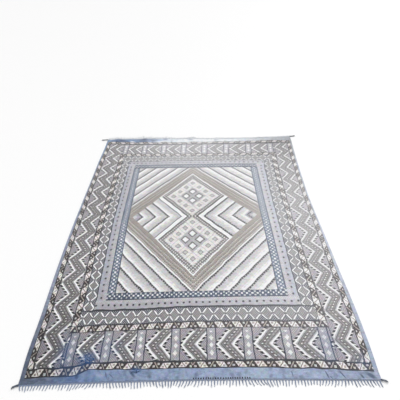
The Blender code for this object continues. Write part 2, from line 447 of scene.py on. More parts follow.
def lay_sheet():
    """The laid cloth as a closed bmesh, with its chart, its dye with painted shade and highlights, and its
    stain, painted light and painted shade kept on its points.
    """
    halves, near_lines, far_lines = zip(*FRAMES.values())
    lines = [EDGE_COLUMN, *halves]
    columns = stations_between([-half for half in lines] + lines[::-1], COLUMN_STEP)
    rows = stations_between([NEAR_EDGE_ROW, *near_lines, *far_lines[::-1], FAR_EDGE_ROW], ROW_STEP)

    bm = bmesh.new()
    bmesh.ops.create_grid(bm, x_segments=len(columns) - 1, y_segments=len(rows) - 1, size=0.5)
    chart = bm.verts.layers.float_vector.new("chart")
    dye_and_shade = bm.verts.layers.float_color.new("dye_and_shade")
    stain_light_and_shade = bm.verts.layers.float_vector.new("stain_light_and_shade")
    column = columns[[round((vertex.co.x + 0.5) * (len(columns) - 1)) for vertex in bm.verts]]
    row = rows[[round((vertex.co.y + 0.5) * (len(rows) - 1)) for vertex in bm.verts]]
    across, along = lay_chart(column, row)
    height = ripple_height(across, along) + soft_ovals(CRUMPLES, across, along)
    turn = zigzag_turn(across, along + TURN_LEAD)
    dyes_and_shade = plain_dye_and_shade(across, along)
    stain_light_and_shade_levels = [soft_ovals(table, across, along) for table in (BLUE_STAINS, PAINTED_LIGHT_PATCHES, PAINTED_SHADE_PATCHES)]
    for k, vertex in enumerate(bm.verts):
        vertex.co = (across[k] + SHIFT.x, along[k] + SHIFT.y, height[k])
        vertex[chart] = (column[k], row[k], turn[k])
        vertex[dye_and_shade] = (*dyes_and_shade[k], 1.0)
        vertex[stain_light_and_shade] = [table[k] for table in stain_light_and_shade_levels]

    frame_names = ["plain weave"]
    for face in bm.faces:
        middle = sum((vertex[chart] for vertex in face.verts), Vector()) / len(face.verts)
        name = frame_of(middle.x, middle.y)
        if name not in frame_names:
            frame_names.append(name)
        face.material_index = frame_names.index(name)
        face.smooth = True
    raised = bmesh.ops.extrude_face_region(bm, geom=bm.faces[:])["geom"]
    top = [part for part in raised if isinstance(part, bmesh.types.BMVert)]
    bmesh.ops.translate(bm, vec=(0, 0, THICKNESS), verts=top)
    bmesh.ops.recalc_face_normals(bm, faces=bm.faces[:])
    bm.faces.index_update()
    bm.faces.sort(key=rim_last)
    return bm, frame_names


def add(name, data):
    """A new object in the scene, which holds a mesh, a camera or a light."""
    made = bpy.data.objects.new(name, data)
    bpy.context.scene.collection.objects.link(made)
    return made


def piece(name, bm):
    """A new object in the scene, made of a finished bmesh."""
    mesh = bpy.data.meshes.new(name)
    bm.to_mesh(mesh)
    bm.free()
    return add(name, mesh)


sheet_bmesh, frame_names = lay_sheet()
rug = piece("woven_sheet", sheet_bmesh)
rug.data.set_sharp_from_angle(angle=math.radians(SHARP_EDGE))
print("woven sheet:", len(rug.data.polygons), "faces in", len(frame_names), "kinds of weave:", frame_names)

# %% [markdown]
# Nodes as arithmetic
#
# A material is a tree of nodes. One function adds a node, gives it its settings and fills or links
# its sockets. The pattern needs many sums and comparisons, which would be unreadable as a list of
# links, so a Signal wraps a socket and lets Python's own signs stand for Math nodes: a + b, a < b.

# %% One function adds a node, and a Signal writes Math nodes as arithmetic


def fill(made, sockets):
    """Fills a node's sockets, or links them to others."""
    for key, value in sockets.items():
        if isinstance(value, Signal):
            value = value.socket
        if isinstance(value, bpy.types.NodeSocket):
            made.id_data.links.new(value, made.inputs[key])
        else:
            made.inputs[key].default_value = value


def node(tree, kind, sockets=None, **settings):
    """Adds a node to a tree, with its settings, and links or fills its sockets."""
    made = tree.nodes.new(kind)
    for name, value in settings.items():
        setattr(made, name, value)
    fill(made, sockets or {})
    return made


class Signal:
    """A number worked out at each point of the cloth."""

    def __init__(self, socket):
        self.socket = socket
        self.tree = socket.id_data

    def spans(self, low, high):
        """1 where the number lies between low and high, and 0 elsewhere."""
        terms = {0: self, 1: (low + high) / 2, 2: (high - low) / 2}
        return Signal(node(self.tree, "ShaderNodeMath", terms, operation="COMPARE").outputs[0])


def arithmetic(operation, turned):
    """A method of Signal that adds one Math node."""

    def apply(self, *others):
        terms = (self, *others)[:: -1 if turned else 1]
        made = node(self.tree, "ShaderNodeMath", dict(enumerate(terms)), operation=operation)
        return Signal(made.outputs[0])

    return apply


SIGNS = (
    # operation, its method, and the method for a Signal that comes second
    ("ADD", "__add__", "__radd__"),
    ("SUBTRACT", "__sub__", "__rsub__"),
    ("MULTIPLY", "__mul__", "__rmul__"),
    ("DIVIDE", "__truediv__"),
    ("FLOORED_MODULO", "__mod__"),
    ("LESS_THAN", "__lt__"),
    ("GREATER_THAN", "__gt__"),
    ("MINIMUM", "__and__"),
    ("MAXIMUM", "__or__"),
    ("ABSOLUTE", "__abs__"),
    ("FLOOR", "floor"),
    ("PINGPONG", "pingpong"),
)
for operation, *methods in SIGNS:
    for turned, method in enumerate(methods):
        setattr(Signal, method, arithmetic(operation, turned))


def parts(vector):
    """The three numbers of a vector, as Signals."""
    made = node(vector.id_data, "ShaderNodeSeparateXYZ", {0: vector})
    return [Signal(output) for output in made.outputs]


def kept(tree, name, output="Vector"):
    """What the mesh keeps on its points under a name."""
    return node(tree, "ShaderNodeAttribute", attribute_name=name).outputs[output]


def mix(tree, share, below, above):
    """A share of one colour over another."""
    return node(tree, "ShaderNodeMix", {0: share, 6: below, 7: above}, data_type="RGBA").outputs[2]


def vector_math(tree, operation, *terms):
    made = node(tree, "ShaderNodeVectorMath", dict(enumerate(terms)), operation=operation)
    return made.outputs[0]


print("a Signal knows", len(SIGNS), "operations")

# %% [markdown]
# Wool, woven
#
# The yarn is hand-spun wool with some white cotton: matt, a little hairy, uneven in colour along
# its length, and packed so tightly that the weft covers the warp. A photograph of cloth could be
# mapped on, but arithmetic keeps every thread sharp at any distance. Real threads lie about 1.5 mm
# apart. They are drawn at half a stitch by a third of a stitch, about 3 mm, which is coarser, so
# that the ribs still show in the render, and painted shade darkens the grooves between them. The
# pattern itself is worked out at the middle of each thread, which gives the small steps that a
# weaver can't avoid, and a slow noise lets the counted lines stray a little. The white yarns are
# thicker and stand proud, so the brightness of the colour also raises the surface, and the painted
# shade kept on the mesh darkens them less than the dark ones, while painted light brightens and
# pales the cloth.

# %% The yarn and its weave
YARNS = {
    "white cotton": "F8F9FB",
    "natural white": "EEEDEC",
    "clay white": "E2D8D1",
    "oatmeal": "D8D6D4",
    "pale lilac": "D0CFD2",
    "pearl grey": "B7B6BA",
    "lilac grey": "AFAEB5",
    "medallion taupe": "A59E98",
    "mauve grey": "8C8791",
    "smoke grey": "827F80",
    "walnut": "75615A",
    "taupe": "6C6969",
    "dark taupe": "555253",
    "charcoal": "34363E",
    "black brown": "232227",
    "soot black": "131319",
    "navy": "1D2740",
    "slate blue": "4B5970",
    "faded blue": "6F7D93",
    "pale blue": "A9B6CE",
    "indigo": "3165A2",
}
THREADS_ACROSS = 2
THREADS_ALONG = 3
STRAY_SCALE = 0.11
STRAY_REACH = 4
SLUB_LENGTH = 2.5
SLUB_WIDTH = 1.4
CLOUD_SCALE = 9.0
FLECK_SCALE = 55.0
FLECKS = 0.5
# how much of the brightness each kind of unevenness takes or adds; the ribs and beads are painted shade in
# the grooves between the threads
RIB_GROOVE_SHADE = 0.10
BEAD_GROOVE_SHADE = 0.06
UNEVEN_SPINNING = 0.18
CLOUDS = 0.22
SLUBS = 0.20
# how strongly the painted shade and the painted light kept on the mesh act, and the limits of the painted
# light
SHADE_SPARES_WHITE = 1.25
PAINTED_LIGHT_GAIN = 0.85
PAINTED_LIGHT_PALING = 0.5
PAINTED_LIGHT_PALE = "E8E8EA"
WHITEST = (0.93, 0.93, 0.94)


def new_wool(name):
    """A new material and its tree."""
    material = bpy.data.materials.new(name)
    material.use_nodes = True
    return material, material.node_tree


def finish_wool(material, sockets):
    """Sets the shader of a wool, which is matt and hardly glossy."""
    shader = material.node_tree.nodes["Principled BSDF"]
    fill(shader, {"Specular IOR Level": 0.15, "Roughness": 0.95, **sockets})
    return material


class Cloth:
    """A material of woven yarn, painted yarn by yarn, each over the ones before it."""

    def __init__(self, name, ground, wander=0.5):
        self.material, self.tree = new_wool(name)
        chart = kept(self.tree, "chart")
        column, row, self.turn = parts(chart)
        stray = parts(self.noise("Color", chart, STRAY_SCALE))
        self.fine_column = (column + (stray[0] - 0.5) * (wander * STRAY_REACH)) * THREADS_ACROSS
        self.fine_row = (row + (stray[1] - 0.5) * (wander * STRAY_REACH)) * THREADS_ALONG
        self.column = (self.fine_column.floor() + 0.5) / THREADS_ACROSS
        self.row = (self.fine_row.floor() + 0.5) / THREADS_ALONG
        self.check = (self.column.floor() + self.row.floor()) % 2
        self.colour = linear(YARNS[ground])

    def lay(self, yarn, where):
        """Lays a yarn where the Signal says, from 0 for not at all to 1."""
        self.colour = mix(self.tree, where, self.colour, linear(YARNS[yarn]))

    def noise(self, output, place, scale, detail=2.0, roughness=0.5):
        """A soft cloudy texture."""
        sockets = {"Vector": place, "Scale": scale, "Detail": detail, "Roughness": roughness}
        return node(self.tree, "ShaderNodeTexNoise", sockets).outputs[output]

    def at_steps(self, across, along):
        """The point of the chart's steps that a Signal across and one along give."""
        return node(self.tree, "ShaderNodeCombineXYZ", {0: across, 1: along}).outputs[0]

    def speckle(self, across, along):
        """A random number for each whole step across and along."""
        sockets = {"Vector": self.at_steps(across.floor(), along.floor())}
        made = node(self.tree, "ShaderNodeTexWhiteNoise", sockets, noise_dimensions="2D")
        return Signal(made.outputs["Value"])

    def brightness(self):
        return Signal(node(self.tree, "ShaderNodeRGBToBW", {0: self.colour}).outputs[0])

    def finish(self, checks=0.14, relief=0.55, tone=0.93):
        """Adds the threads with painted shade in their grooves, the unevenness of the dye, the stain,
        painted light and painted shade, and the wool's shader.
        """
        tree = self.tree
        place = node(tree, "ShaderNodeTexCoord").outputs["Object"]
        spun = self.speckle(self.fine_column, self.fine_row)
        slub = self.speckle(self.column / SLUB_LENGTH, self.row / SLUB_WIDTH)
        cloudy = Signal(self.noise("Fac", place, CLOUD_SCALE, 3.0, 0.6))
        rib = (self.fine_row % 1).pingpong(0.5) * 2
        bead = (self.fine_column % 1).pingpong(0.5) * 2
        # ribs and beads: painted shade in the grooves between the threads
        shade = tone + rib * RIB_GROOVE_SHADE + bead * BEAD_GROOVE_SHADE
        shade = shade + (spun - 0.5) * UNEVEN_SPINNING + (cloudy - 0.5) * CLOUDS
        shade = shade + (self.check - 0.5) * checks + (slub - 0.5) * SLUBS

        # painted light brightens and pales the cloth, and painted shade darkens it, the white yarns least
        stain, painted_light, darkening = parts(kept(tree, "stain_light_and_shade"))
        unshaded = 1 - darkening * (SHADE_SPARES_WHITE - self.brightness())
        shade = shade * unshaded * (painted_light * PAINTED_LIGHT_GAIN + 1)
        flecks = self.noise("Color", place, FLECK_SCALE)
        tint = vector_math(tree, "MULTIPLY_ADD", flecks, (FLECKS,) * 3, (1 - FLECKS / 2,) * 3)
        colour = vector_math(tree, "MULTIPLY", self.colour, shade)
        colour = vector_math(tree, "MULTIPLY", colour, tint)
        colour = vector_math(tree, "MINIMUM", colour, WHITEST)
        self.colour = mix(tree, painted_light * PAINTED_LIGHT_PALING, colour, linear(PAINTED_LIGHT_PALE))
        self.lay("indigo", stain * (0.55 + spun * 0.9) & 1.0)

        height = self.brightness() * relief + rib * bead * 0.45
        bump = node(tree, "ShaderNodeBump", {"Strength": 0.8, "Distance": 0.001, "Height": height})
        sockets = {"Base Color": self.colour, "Normal": bump.outputs["Normal"], "Roughness": 0.92}
        return finish_wool(self.material, {**sockets, "Sheen Weight": 0.25, "Sheen Roughness": 0.6})


WOVEN = {}
print("yarns:", ", ".join(YARNS))

# %% [markdown]
# The plain woven ends and edges
#
# Both ends finish in a hand's breadth of plain blue weave, and the weft turns round at the sides in
# a narrow blue selvedge. There is no motif to draw, so the dye kept on the mesh, which at the far
# end holds painted shade and painted highlights, is used directly, with the slubs of the yarn as
# streaks across the cloth. A row of dark ticks by the near fringe is painted shadow between the
# fringe's roots. The thin cloth has also been crumpled there. Such sharp creases are finer than the
# mesh, and modelling them would need far more points, so each is a narrow soft oval that runs from
# one point of its table's row to another: dark wool for painted shade in a crease, pale wool for a
# painted highlight on a crest.

# %% Plain blue weave
TICK_PITCH = 2.0
TICK_WIDTH = 0.9
TICK_ROWS = 1.2
TICK_COLUMNS = (0, 47)
STREAKS = (0.12, 0.9, 2.0)
MOTTLES = (0.10, 0.05, 3.0)
MOTTLE_SHARPNESS = 2.2
MOTTLED = 0.35
CREASE_SHADE_AND_HIGHLIGHTS = (
    # yarn, then from across and along, to across and along, half width, strength; the dark yarns are
    # painted shade in the creases, the pale ones painted highlights on the crests
    # painted shade in the creases of both plain ends
    (
        "slate blue",
        (0.712, -1.446, 0.725, -1.497, 0.0035, 0.75),
        (0.732, -1.482, 0.745, -1.500, 0.0030, 0.55),
        (0.789, -1.448, 0.817, -1.497, 0.0040, 0.85),
        (0.526, -1.442, 0.530, -1.480, 0.0030, 0.60),
        (0.902, -1.478, 0.915, -1.500, 0.0050, 0.75),
        (0.934, -1.470, 0.982, -1.500, 0.0120, 0.70),
        (0.868, -1.438, 0.892, -1.450, 0.0060, 0.55),
        (0.560, -1.478, 0.592, -1.494, 0.0120, 0.35),
        (0.401, -1.468, 0.414, -1.484, 0.0120, 0.35),
        (0.178, -1.450, 0.208, -1.470, 0.0120, 0.30),
        (0.080, -1.462, 0.104, -1.484, 0.0060, 0.40),
        (-0.014, -1.446, 0.008, -1.462, 0.0120, 0.30),
        (-0.275, -1.448, -0.259, -1.474, 0.0120, 0.45),
        (-0.384, -1.420, -0.344, -1.468, 0.0080, 0.60),
        (-0.494, -1.440, -0.464, -1.472, 0.0030, 0.45),
        (-0.516, -1.427, -0.502, -1.472, 0.0030, 0.55),
        (-0.679, -1.428, -0.668, -1.472, 0.0100, 0.65),
        (-0.880, 1.450, -0.740, 1.440, 0.0240, 0.55),
    ),
    # painted shade under the far end's crumples
    (
        "navy",
        (-0.850, 1.490, -0.780, 1.470, 0.0150, 0.40),
        (-0.620, 1.480, -0.520, 1.450, 0.0200, 0.40),
    ),
    # painted shade under the far end's crumples
    (
        "slate blue",
        (-0.500, 1.475, -0.440, 1.440, 0.0200, 0.50),
        (-0.360, 1.480, -0.310, 1.450, 0.0200, 0.45),
        (-0.090, 1.470, -0.030, 1.440, 0.0180, 0.40),
        (0.190, 1.450, 0.260, 1.440, 0.0180, 0.30),
    ),
    # painted highlights on the far end's crests
    (
        "white cotton",
        (-0.460, 1.435, -0.300, 1.425, 0.0100, 0.45),
        (-0.720, 1.450, -0.660, 1.430, 0.0120, 0.45),
    ),
    # painted highlights beside the near end's creases
    (
        "pale blue",
        (0.620, -1.455, 0.690, -1.495, 0.0200, 0.55),
        (0.335, -1.440, 0.380, -1.480, 0.0250, 0.55),
        (0.050, -1.450, 0.095, -1.470, 0.0150, 0.45),
        (-0.578, -1.432, -0.519, -1.465, 0.0120, 0.45),
        (-0.654, -1.420, -0.610, -1.471, 0.0200, 0.35),
    ),
)
# how far the painted crease shade and highlights are lengthened and widened, and how strong they are
CREASE_LENGTHENED = 0.6
CREASE_WIDENED = 1.3
PAINTED_CREASE_STRENGTH = 1.5


def lay_crease_shade_and_highlights(cloth):
    """Lays the painted shade of each crease and the painted highlight of each crest by its distance along
    and across its own line.
    """
    place = parts(node(cloth.tree, "ShaderNodeTexCoord").outputs["Object"])
    x = place[0] - SHIFT.x
    y = place[1] - SHIFT.y
    for yarn, *creases in CREASE_SHADE_AND_HIGHLIGHTS:
        for x0, y0, x1, y1, half_width, strength in creases:
            length = math.hypot(x1 - x0, y1 - y0)
            run_x = (x1 - x0) / length
            run_y = (y1 - y0) / length
            dx = x - (x0 + x1) / 2
            dy = y - (y0 + y1) / 2
            down = (dx * run_x + dy * run_y) / (length * CREASE_LENGTHENED)
            over = (dx * run_y - dy * run_x) / (half_width * CREASE_WIDENED)
            oval = (1 - (down * down + over * over)) | 0
            cloth.lay(yarn, oval * (strength * PAINTED_CREASE_STRENGTH) & 0.9)


def drifting(cloth, across, along, detail):
    """A slow noise along the threads."""
    place = cloth.at_steps(cloth.fine_column * across, cloth.fine_row * along)
    return Signal(cloth.noise("Fac", place, 1.0, detail))


def plain_weave():
    cloth = Cloth("plain_woven_blue_wool", "faded blue")
    # the dye, which at the far end holds painted shade under the crumples and painted highlights on their
    # crests
    cloth.colour = kept(cloth.tree, "dye_and_shade", "Color")
    streak = drifting(cloth, *STREAKS)
    cloth.lay("pale blue", (streak > 0.60) * 0.22)
    cloth.lay("slate blue", (streak < 0.40) * 0.30)
    mottle = (drifting(cloth, *MOTTLES) - 0.5) * MOTTLE_SHARPNESS
    cloth.lay("slate blue", ((0 - mottle) | 0) & MOTTLED)
    cloth.lay("pale blue", (mottle | 0) & MOTTLED)
    # painted shade in the creases and painted highlights on the crests
    lay_crease_shade_and_highlights(cloth)
    # painted shadow between the fringe's roots: a row of dark ticks along the near end
    root_shadow_band = (cloth.row < NEAR_EDGE_ROW + TICK_ROWS) & cloth.column.spans(*TICK_COLUMNS)
    cloth.lay("black brown", root_shadow_band & (cloth.column % TICK_PITCH < TICK_WIDTH))
    return cloth.finish(checks=0.03, relief=0.2)


WOVEN["plain weave"] = plain_weave()
print("plain weave has", len(WOVEN["plain weave"].node_tree.nodes), "nodes")

# %% [markdown]
# The guard stripes
#
# Two thin guard stripes go all the way round. Triangles stand on their bases and on their points by
# turns, two white ones and then two dark ones, each outlined in thin clay yarn, with one stitch of
# the other colour in its middle. Triangles could be drawn one by one, but two families of slanting
# lines do it all: one family leans one way and bounds the colours, the other leans the other way
# and parts each pair. The same painting serves the ends and the sides, mirrored left and right.

# %% Guard stripes
GUARD_REPEAT = 16
GUARD_DARK = 4.8
GUARD_OUTLINE = 0.3
PARTING_HALF = 0.5
# the single stitch in a triangle: its half width and, in shares of half the depth, place and half height
STITCH_HALF = 0.8
STITCH_PLACE = 0.38
STITCH_HEIGHT = 0.28
GUARDS = (
    # name, depth in stitches, lean
    ("outer guard end", 5, -1),
    ("outer guard side", 5, -1.4),
    ("inner guard end", 6, -1),
    ("inner guard side", 6, 1.4),
)


def stripe(name, ground):
    """A stripe's cloth, the stitches along it and the stitches in from its frame's outer line."""
    half, near, far = FRAMES[name.rsplit(" ", 1)[0]]
    cloth = Cloth(name.replace(" ", "_") + "_wool", ground)
    if name.endswith("side"):
        return cloth, cloth.row, half - abs(cloth.column)
    return cloth, cloth.column, (cloth.row - near) & (far - cloth.row)


def guard_stripe(name, depth, lean):
    cloth, run, inset = stripe(name, "natural white")
    if name.endswith("end"):
        run = abs(run)
    half = GUARD_REPEAT / 2
    rise = (inset - depth / 2) / (depth / 2)
    shift = rise * (lean * half / 4)
    from_dark = (run - shift).pingpong(half)
    dark = from_dark < GUARD_DARK
    cloth.lay("clay white", cloth.check * 0.5)
    cloth.lay("black brown", dark)
    cloth.lay("walnut", (dark & cloth.check) * 0.35)
    parting = (run + shift).pingpong(half / 2) < PARTING_HALF
    cloth.lay("walnut", (parting & (1 - dark)) * 0.9)
    cloth.lay("clay white", (parting & dark) * 0.55)
    cloth.lay("clay white", from_dark.spans(GUARD_DARK - GUARD_OUTLINE, GUARD_DARK + GUARD_OUTLINE) * 0.4)
    for middle, yarn in ((0, "natural white"), (half, "walnut")):
        from_middle = (run + half - middle) % GUARD_REPEAT - half
        for way in (-1, 1):
            beside = abs(from_middle - way * lean * half / 4) < STITCH_HALF
            level = abs(rise - way * STITCH_PLACE) < STITCH_HEIGHT
            cloth.lay(yarn, (beside & level) * 0.65)
    cloth.lay("charcoal", (inset < 0.7) | (inset > depth - 0.6))
    return cloth.finish()


for name, *sizes in GUARDS:
    WOVEN[name] = guard_stripe(name, *sizes)
print("guard stripes have", len(WOVEN["inner guard end"].node_tree.nodes), "nodes each")

# %% [markdown]
# The zigzag sides and the chevron ends
#
# The broad border is a grey band between two white lines, each with a row of dark stitches on its
# outer side. Down both sides it runs as a zigzag, 26 stitches a turn. At the ends it is cut into
# chevrons by upright bars. Both are one painting of the distance from the first white line: folding
# the row with PINGPONG gives the zigzag, and the distance from the stripe's middle gives a chevron.

# %% Zigzags and chevrons
LINE_SPACING = 13.4
DASH_PITCH = 3.0
DASH_LENGTH = 0.62 * DASH_PITCH
DOT_PITCH = 2.45
DOT_LENGTH = 1.15
DOTTED_LINE = (5.2, 6.6)
DARK_MIDDLE = (4.3, 7.5)
PALE_RIM = (-2.3, -1.0)
DARK_RIM = (-3.2, -2.3)
PALE_DOTS = (LINE_SPACING - 5.1, LINE_SPACING - 4.1)
ZIGZAG_DEPTH = 11
ZIGZAG_SHIFT = 1.3
LEFT_SHIFT = 1.5
# the half width of the white line, then where its dark stitches start and end
ZIGZAG_LINES = (0.75, 1.0, 3.0)
CHEVRON_LINES = (0.85, 1.1, 3.2)
CHEVRON_START = 5.2
CHEVRON_MIDDLE = 13.2
CHEVRON_SLOPE = 0.95
BAR_REPEAT = 32
BAR_HALF = 3.8
BAR_RIM = 0.5
DIAMOND_PITCH = 6.4
DIAMOND_START = 3.5
DIAMOND_SLOPE = 1.2
DIAMOND_HALF = 2.4


def chevron_band(cloth, x, run, half_line, dash_from, dash_reach):
    """Paints the band by its distance x from the first white line, both lines and their dashes."""
    dash = run % DASH_PITCH < DASH_LENGTH
    dot = run % DOT_PITCH < DOT_LENGTH
    from_lines = (0 - x) | (x - LINE_SPACING)
    cloth.lay("smoke grey", from_lines < 0)
    cloth.lay("pearl grey", from_lines.spans(*PALE_RIM) * 0.8)
    cloth.lay("dark taupe", from_lines.spans(*DARK_RIM) * 0.8)
    cloth.lay("dark taupe", x.spans(*DARK_MIDDLE) * 0.7)
    cloth.lay("natural white", (x.spans(*DOTTED_LINE) & dot) * 0.8)
    cloth.lay("pearl grey", (x.spans(*PALE_DOTS) & dot) * 0.7)
    cloth.lay("mauve grey", from_lines > 1)
    cloth.lay("pearl grey", (from_lines > 3.2) & cloth.check * 0.3)
    cloth.lay("clay white", (from_lines > 6) & cloth.check * 0.25)
    cloth.lay("pearl grey", from_lines.spans(dash_reach + 1.2, dash_reach + 2.1) * 0.6)
    cloth.lay("taupe", from_lines.spans(half_line, dash_from))
    cloth.lay("oatmeal", from_lines.spans(dash_from, dash_reach) & (1 - dash))
    cloth.lay("soot black", from_lines.spans(dash_from, dash_reach) & dash)
    steps = from_lines.spans(half_line, half_line + 0.4) & (1 - dash)
    return from_lines.spans(-half_line - 0.2, half_line) | steps


def zigzag_sides():
    cloth, run, inset = stripe("zigzag side", "taupe")
    fold = cloth.turn.pingpong(0.5) * (2 * ZIGZAG_DEPTH) - ZIGZAG_DEPTH
    x = inset + fold + ZIGZAG_SHIFT - (cloth.column < 0) * LEFT_SHIFT
    white = chevron_band(cloth, x, run, *ZIGZAG_LINES)
    cloth.lay("white cotton", white & inset.spans(1.6, 21.6))
    cloth.lay("charcoal", (inset < 0.6) | (inset > 22.4))
    return cloth.finish()


def chevron_ends():
    cloth, run, inset = stripe("zigzag end", "taupe")
    place = (run - BAR_REPEAT / 2) % BAR_REPEAT
    x = place - CHEVRON_START - abs(inset - CHEVRON_MIDDLE) * CHEVRON_SLOPE
    white = chevron_band(cloth, x, cloth.row, *CHEVRON_LINES)
    cloth.lay("white cotton", white & inset.spans(1.6, 25.0))
    from_bar = abs((place + BAR_REPEAT / 2) % BAR_REPEAT - BAR_REPEAT / 2)
    cloth.lay("lilac grey", from_bar < BAR_HALF)
    cloth.lay("smoke grey", ((from_bar < BAR_HALF) & (1 - cloth.check)) * 0.4)
    cloth.lay("navy", from_bar.spans(BAR_HALF - BAR_RIM, BAR_HALF + BAR_RIM) * 0.9)
    level = abs((inset + DIAMOND_START) % DIAMOND_PITCH - DIAMOND_PITCH / 2)
    diamond = from_bar * DIAMOND_SLOPE + level < DIAMOND_HALF
    cloth.lay("natural white", (diamond & inset.spans(1.2, 24.6)) * 0.85)
    cloth.lay("charcoal", inset < 0.7)
    return cloth.finish()


WOVEN["zigzag side"] = zigzag_sides()
WOVEN["zigzag end"] = chevron_ends()
print("the zigzag has", len(WOVEN["zigzag side"].node_tree.nodes), "nodes")

# %% [markdown]
# The lattice and the two dotted stripes
#
# Inside the broad border lies a lattice of white dashes that nearly meet in diamonds, then a pale
# stripe with one row of dark dots, then a narrow blue-grey stripe with rows of white dots. Arrays
# of small pieces would be heavy, and dots are the same sum as lines: a remainder folds the stripe
# into one repeat, and a distance inside it draws the motif.

# %% Lattice and dotted stripes
LATTICE_SHADOW = 0.12
LATTICE_MIDDLE_GAP = 1.05
DOT_ROW = 0.48
DOT_FLATNESS = 0.9
DOT_SIZE = 1.4
WHITE_DOT_ROWS = (0.5, 0.85, 0.5)


def lattice(name, depth, repeat, phase, reach, half_line, tip_gap):
    cloth, run, inset = stripe(name, "slate blue")
    along = (run - phase).pingpong(repeat / 2) / (repeat / 2)
    off = abs(inset - depth / 2)
    beyond = off / reach - along
    cloth.lay("charcoal", cloth.check)
    cloth.lay("pearl grey", (1 - cloth.check) * 0.65)
    cloth.lay("smoke grey", beyond < 0)
    cloth.lay("pale lilac", (beyond < 0) & cloth.check * 0.3)
    cloth.lay("charcoal", ((beyond < 0) & (1 - cloth.check)) * 0.3)
    cloth.lay("charcoal", abs(beyond).spans(half_line, half_line + LATTICE_SHADOW) * 0.5)
    dashes = off.spans(LATTICE_MIDDLE_GAP, depth / 2 - tip_gap)
    cloth.lay("white cotton", (abs(beyond) < half_line) & dashes)
    cloth.lay("charcoal", (inset < 0.5) | (inset > depth - 0.5))
    return cloth.finish(checks=0.05)


def dotted_stripe(name, depth, repeat, phase):
    cloth, run, inset = stripe(name, "lilac grey")
    a = (run - phase).pingpong(repeat / 2)
    b = inset - depth * DOT_ROW
    dot = 1 - (a * a * DOT_FLATNESS + b * b) / DOT_SIZE
    cloth.lay("pale lilac", (b > 1.6) & cloth.check * 0.5)
    cloth.lay("black brown", (dot | 0) * 2.0 & 1)
    if name.endswith("side"):
        cloth.lay("pale blue", (inset < depth * 0.42) * 0.25)
    cloth.lay("charcoal", inset < 0.6)
    return cloth.finish(checks=0.07, relief=0.3)


def narrow_stripe(name, depth, repeat, dot, ground):
    cloth, run, inset = stripe(name, ground)
    cloth.lay("charcoal", cloth.check * 0.4)
    for k, strength in enumerate(WHITE_DOT_ROWS):
        a = (run + repeat / 2 * (k % 2)).pingpong(repeat / 2)
        cloth.lay("white cotton", ((a < dot) & (abs(inset - depth * (k + 1) / 4) < dot)) * strength)
    cloth.lay("navy", (inset < 0.7) | (inset > depth - 0.7))
    return cloth.finish(checks=0.06)


STRIPES = (
    # painter, name, depth in stitches, repeat, then the painter's own sizes
    (lattice, "lattice end", 13.5, 10.7, -2.3, 6.7, 0.130, 1.5),
    (lattice, "lattice side", 12, 11.2, 1.0, 5.4, 0.155, 0.5),
    (dotted_stripe, "plain stripe end", 9, 6.35, 2.9),
    (dotted_stripe, "plain stripe side", 10, 6.9, 0.0),
    (narrow_stripe, "narrow stripe end", 7.5, 4.95, 0.9, "slate blue"),
    (narrow_stripe, "narrow stripe side", 9, 4.2, 0.9, "faded blue"),
)
for paint, name, *sizes in STRIPES:
    WOVEN[name] = paint(name, *sizes)
print("weaves so far:", len(WOVEN))

# %% [markdown]
# The field
#
# The middle holds a large six-sided medallion with two panels of small diamonds, arrows from both
# sides, and slanting stripes in the four corners. Each motif could have its own drawing, but every
# slant climbs one stitch for each stitch along, so all of it follows from the columns and rows
# counted from the waist: their sum gives the hexagon and the corner stripes, their difference gives
# the arrows, and both together give the diamond panels. The hexagon's inner line is bent a little.

# %% The field
WAIST_ROW = 5.5
HEXAGON = 98.3
BAND_LINES = (84.5, 90.0, 95.0)
INNER_LINE = 80
INNER_BEND = 42
INNER_LEAN = 0.08
STRIPE_START = 100
STRIPE_REPEAT = 16.3
WHITE_BAND = (6.8, 13.2)
ARROW_START = 13.4
ARROW_REPEAT = 17.1
ARROW_SHIFT = 1.9
TIP_START = 62
TIP_DOTS = 70
PANEL_START = 1
PANEL_CELL = 17
PANEL_MIDDLE = PANEL_START + 2 * PANEL_CELL
TOOTH_PITCH = 4
TOOTH_LENGTH = 2.2
TOOTH_REACH = 1.3
DARK_LINE = 1.6
STRIPE_STEPS = (
    # yarn, where it starts in the repeat
    ("pale lilac", 0.20),
    ("oatmeal", 0.42),
    ("natural white", 0.60),
    ("white cotton", 0.80),
)
PANEL_RINGS = (
    # yarn, from and to in stitches from a small diamond's middle, strength
    ("pearl grey", 7.6, PANEL_CELL, 0.6),
    ("pale lilac", 4.8, 6.2, 0.4),
    ("smoke grey", -1, 3.7, 0.85),
    ("pale lilac", -1, 2.4, 0.75),
)
CENTRAL_RINGS = (
    # yarn, how far it reaches from a stronger diamond's middle
    ("smoke grey", 6.0),
    ("dark taupe", 5.5),
    ("white cotton", 4.2),
)


def slanting_stripes(cloth, i, along, repeat, where):
    """One repeat of the slanting stripes: a dark toothed line, then grey, oatmeal and white."""
    tooth = along % TOOTH_PITCH < TOOTH_LENGTH
    cloth.lay("pearl grey", where * 0.9)
    for yarn, start in STRIPE_STEPS:
        cloth.lay(yarn, where & (i > repeat * start))
    cloth.lay("pearl grey", (where & (i < repeat * 0.8) & cloth.check) * 0.45)
    cloth.lay("black brown", where & (i < DARK_LINE + tooth * TOOTH_REACH) & (tooth * 0.35 + 0.65))


